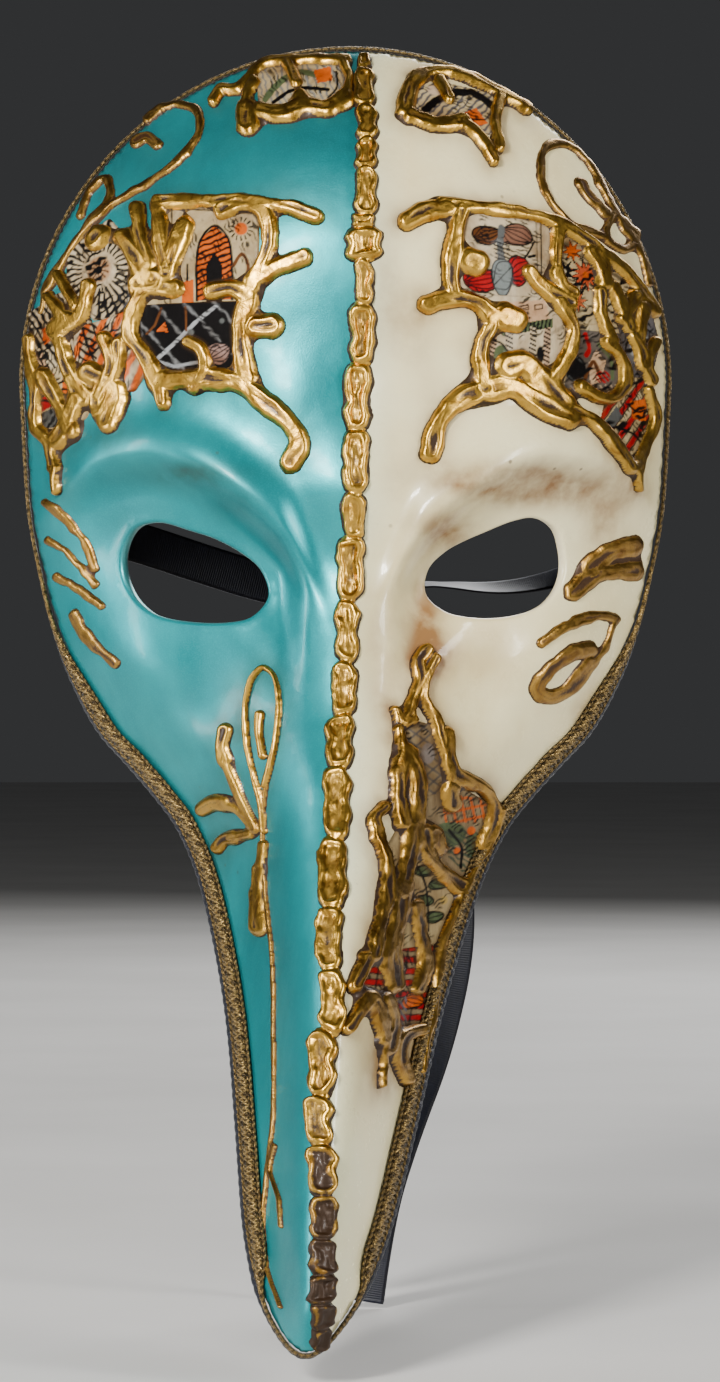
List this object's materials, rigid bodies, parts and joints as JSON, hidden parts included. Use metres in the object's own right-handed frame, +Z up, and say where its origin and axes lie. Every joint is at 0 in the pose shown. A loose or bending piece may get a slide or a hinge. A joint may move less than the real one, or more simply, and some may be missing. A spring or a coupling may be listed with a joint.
{
  "type": "plague doctor mask",
  "caption": "Long-beaked full-face mask in two colours with raised gilded scrollwork, a braided rim, two eye holes and ribbon ties.",
  "frame": {"origin": "middle of the wearer's eye line, in the plane of the rim at the temples", "axes": "+Z up the face, -Y the way the face and beak look, +X to the viewer's right"},
  "size_m": [0.159, 0.1531, 0.3063],
  "materials": {
    "shell_paint": "pearl teal and gloss ivory lacquer",
    "gilding": "gold leaf over piped stucco, brown patina",
    "prints": "varnished",
    "braid": "antique gold metallic gimp",
    "binding": "dark navy cord",
    "ribbon": "navy satin",
    "patch": "painted paper"
  },
  "bodies": {
    "root": {"mask_shell": "shell_paint", "edge_binding": "binding", "gold_braid": "braid", "forehead_chain": "gilding", "nose_chain": "gilding", "beak_chain": "gilding", "left_brow_frame": "gilding", "right_brow_frame": "gilding", "left_crown_frame": "gilding", "right_crown_frame": "gilding", "left_temple_scroll": "gilding", "right_temple_scroll": "gilding", "left_cheek_strokes": "gilding", "right_cheek_strokes": "gilding", "left_nose_flourish": "gilding", "left_beak_stem": "gilding", "right_beak_frame": "gilding", "left_ribbon": "ribbon", "right_ribbon": "ribbon", "ribbon_knot": "ribbon", "left_tie_patch": "patch", "right_tie_patch": "patch", "left_brow_arch_print": "prints", "left_brow_night_print": "prints", "left_brow_sunburst_print": "prints", "left_brow_striped_print": "prints", "left_brow_hatched_print": "prints", "left_brow_red_print": "prints", "right_brow_arch_print": "prints", "right_brow_table_print": "prints", "right_brow_star_print": "prints", "right_brow_flask_print": "prints", "right_brow_flower_print": "prints", "right_brow_red_print": "prints", "left_crown_print": "prints", "right_crown_print": "prints", "beak_diamond_print": "prints", "beak_lattice_print": "prints", "beak_foliage_print": "prints", "beak_brick_print": "prints"}
  },
  "joints": []
}
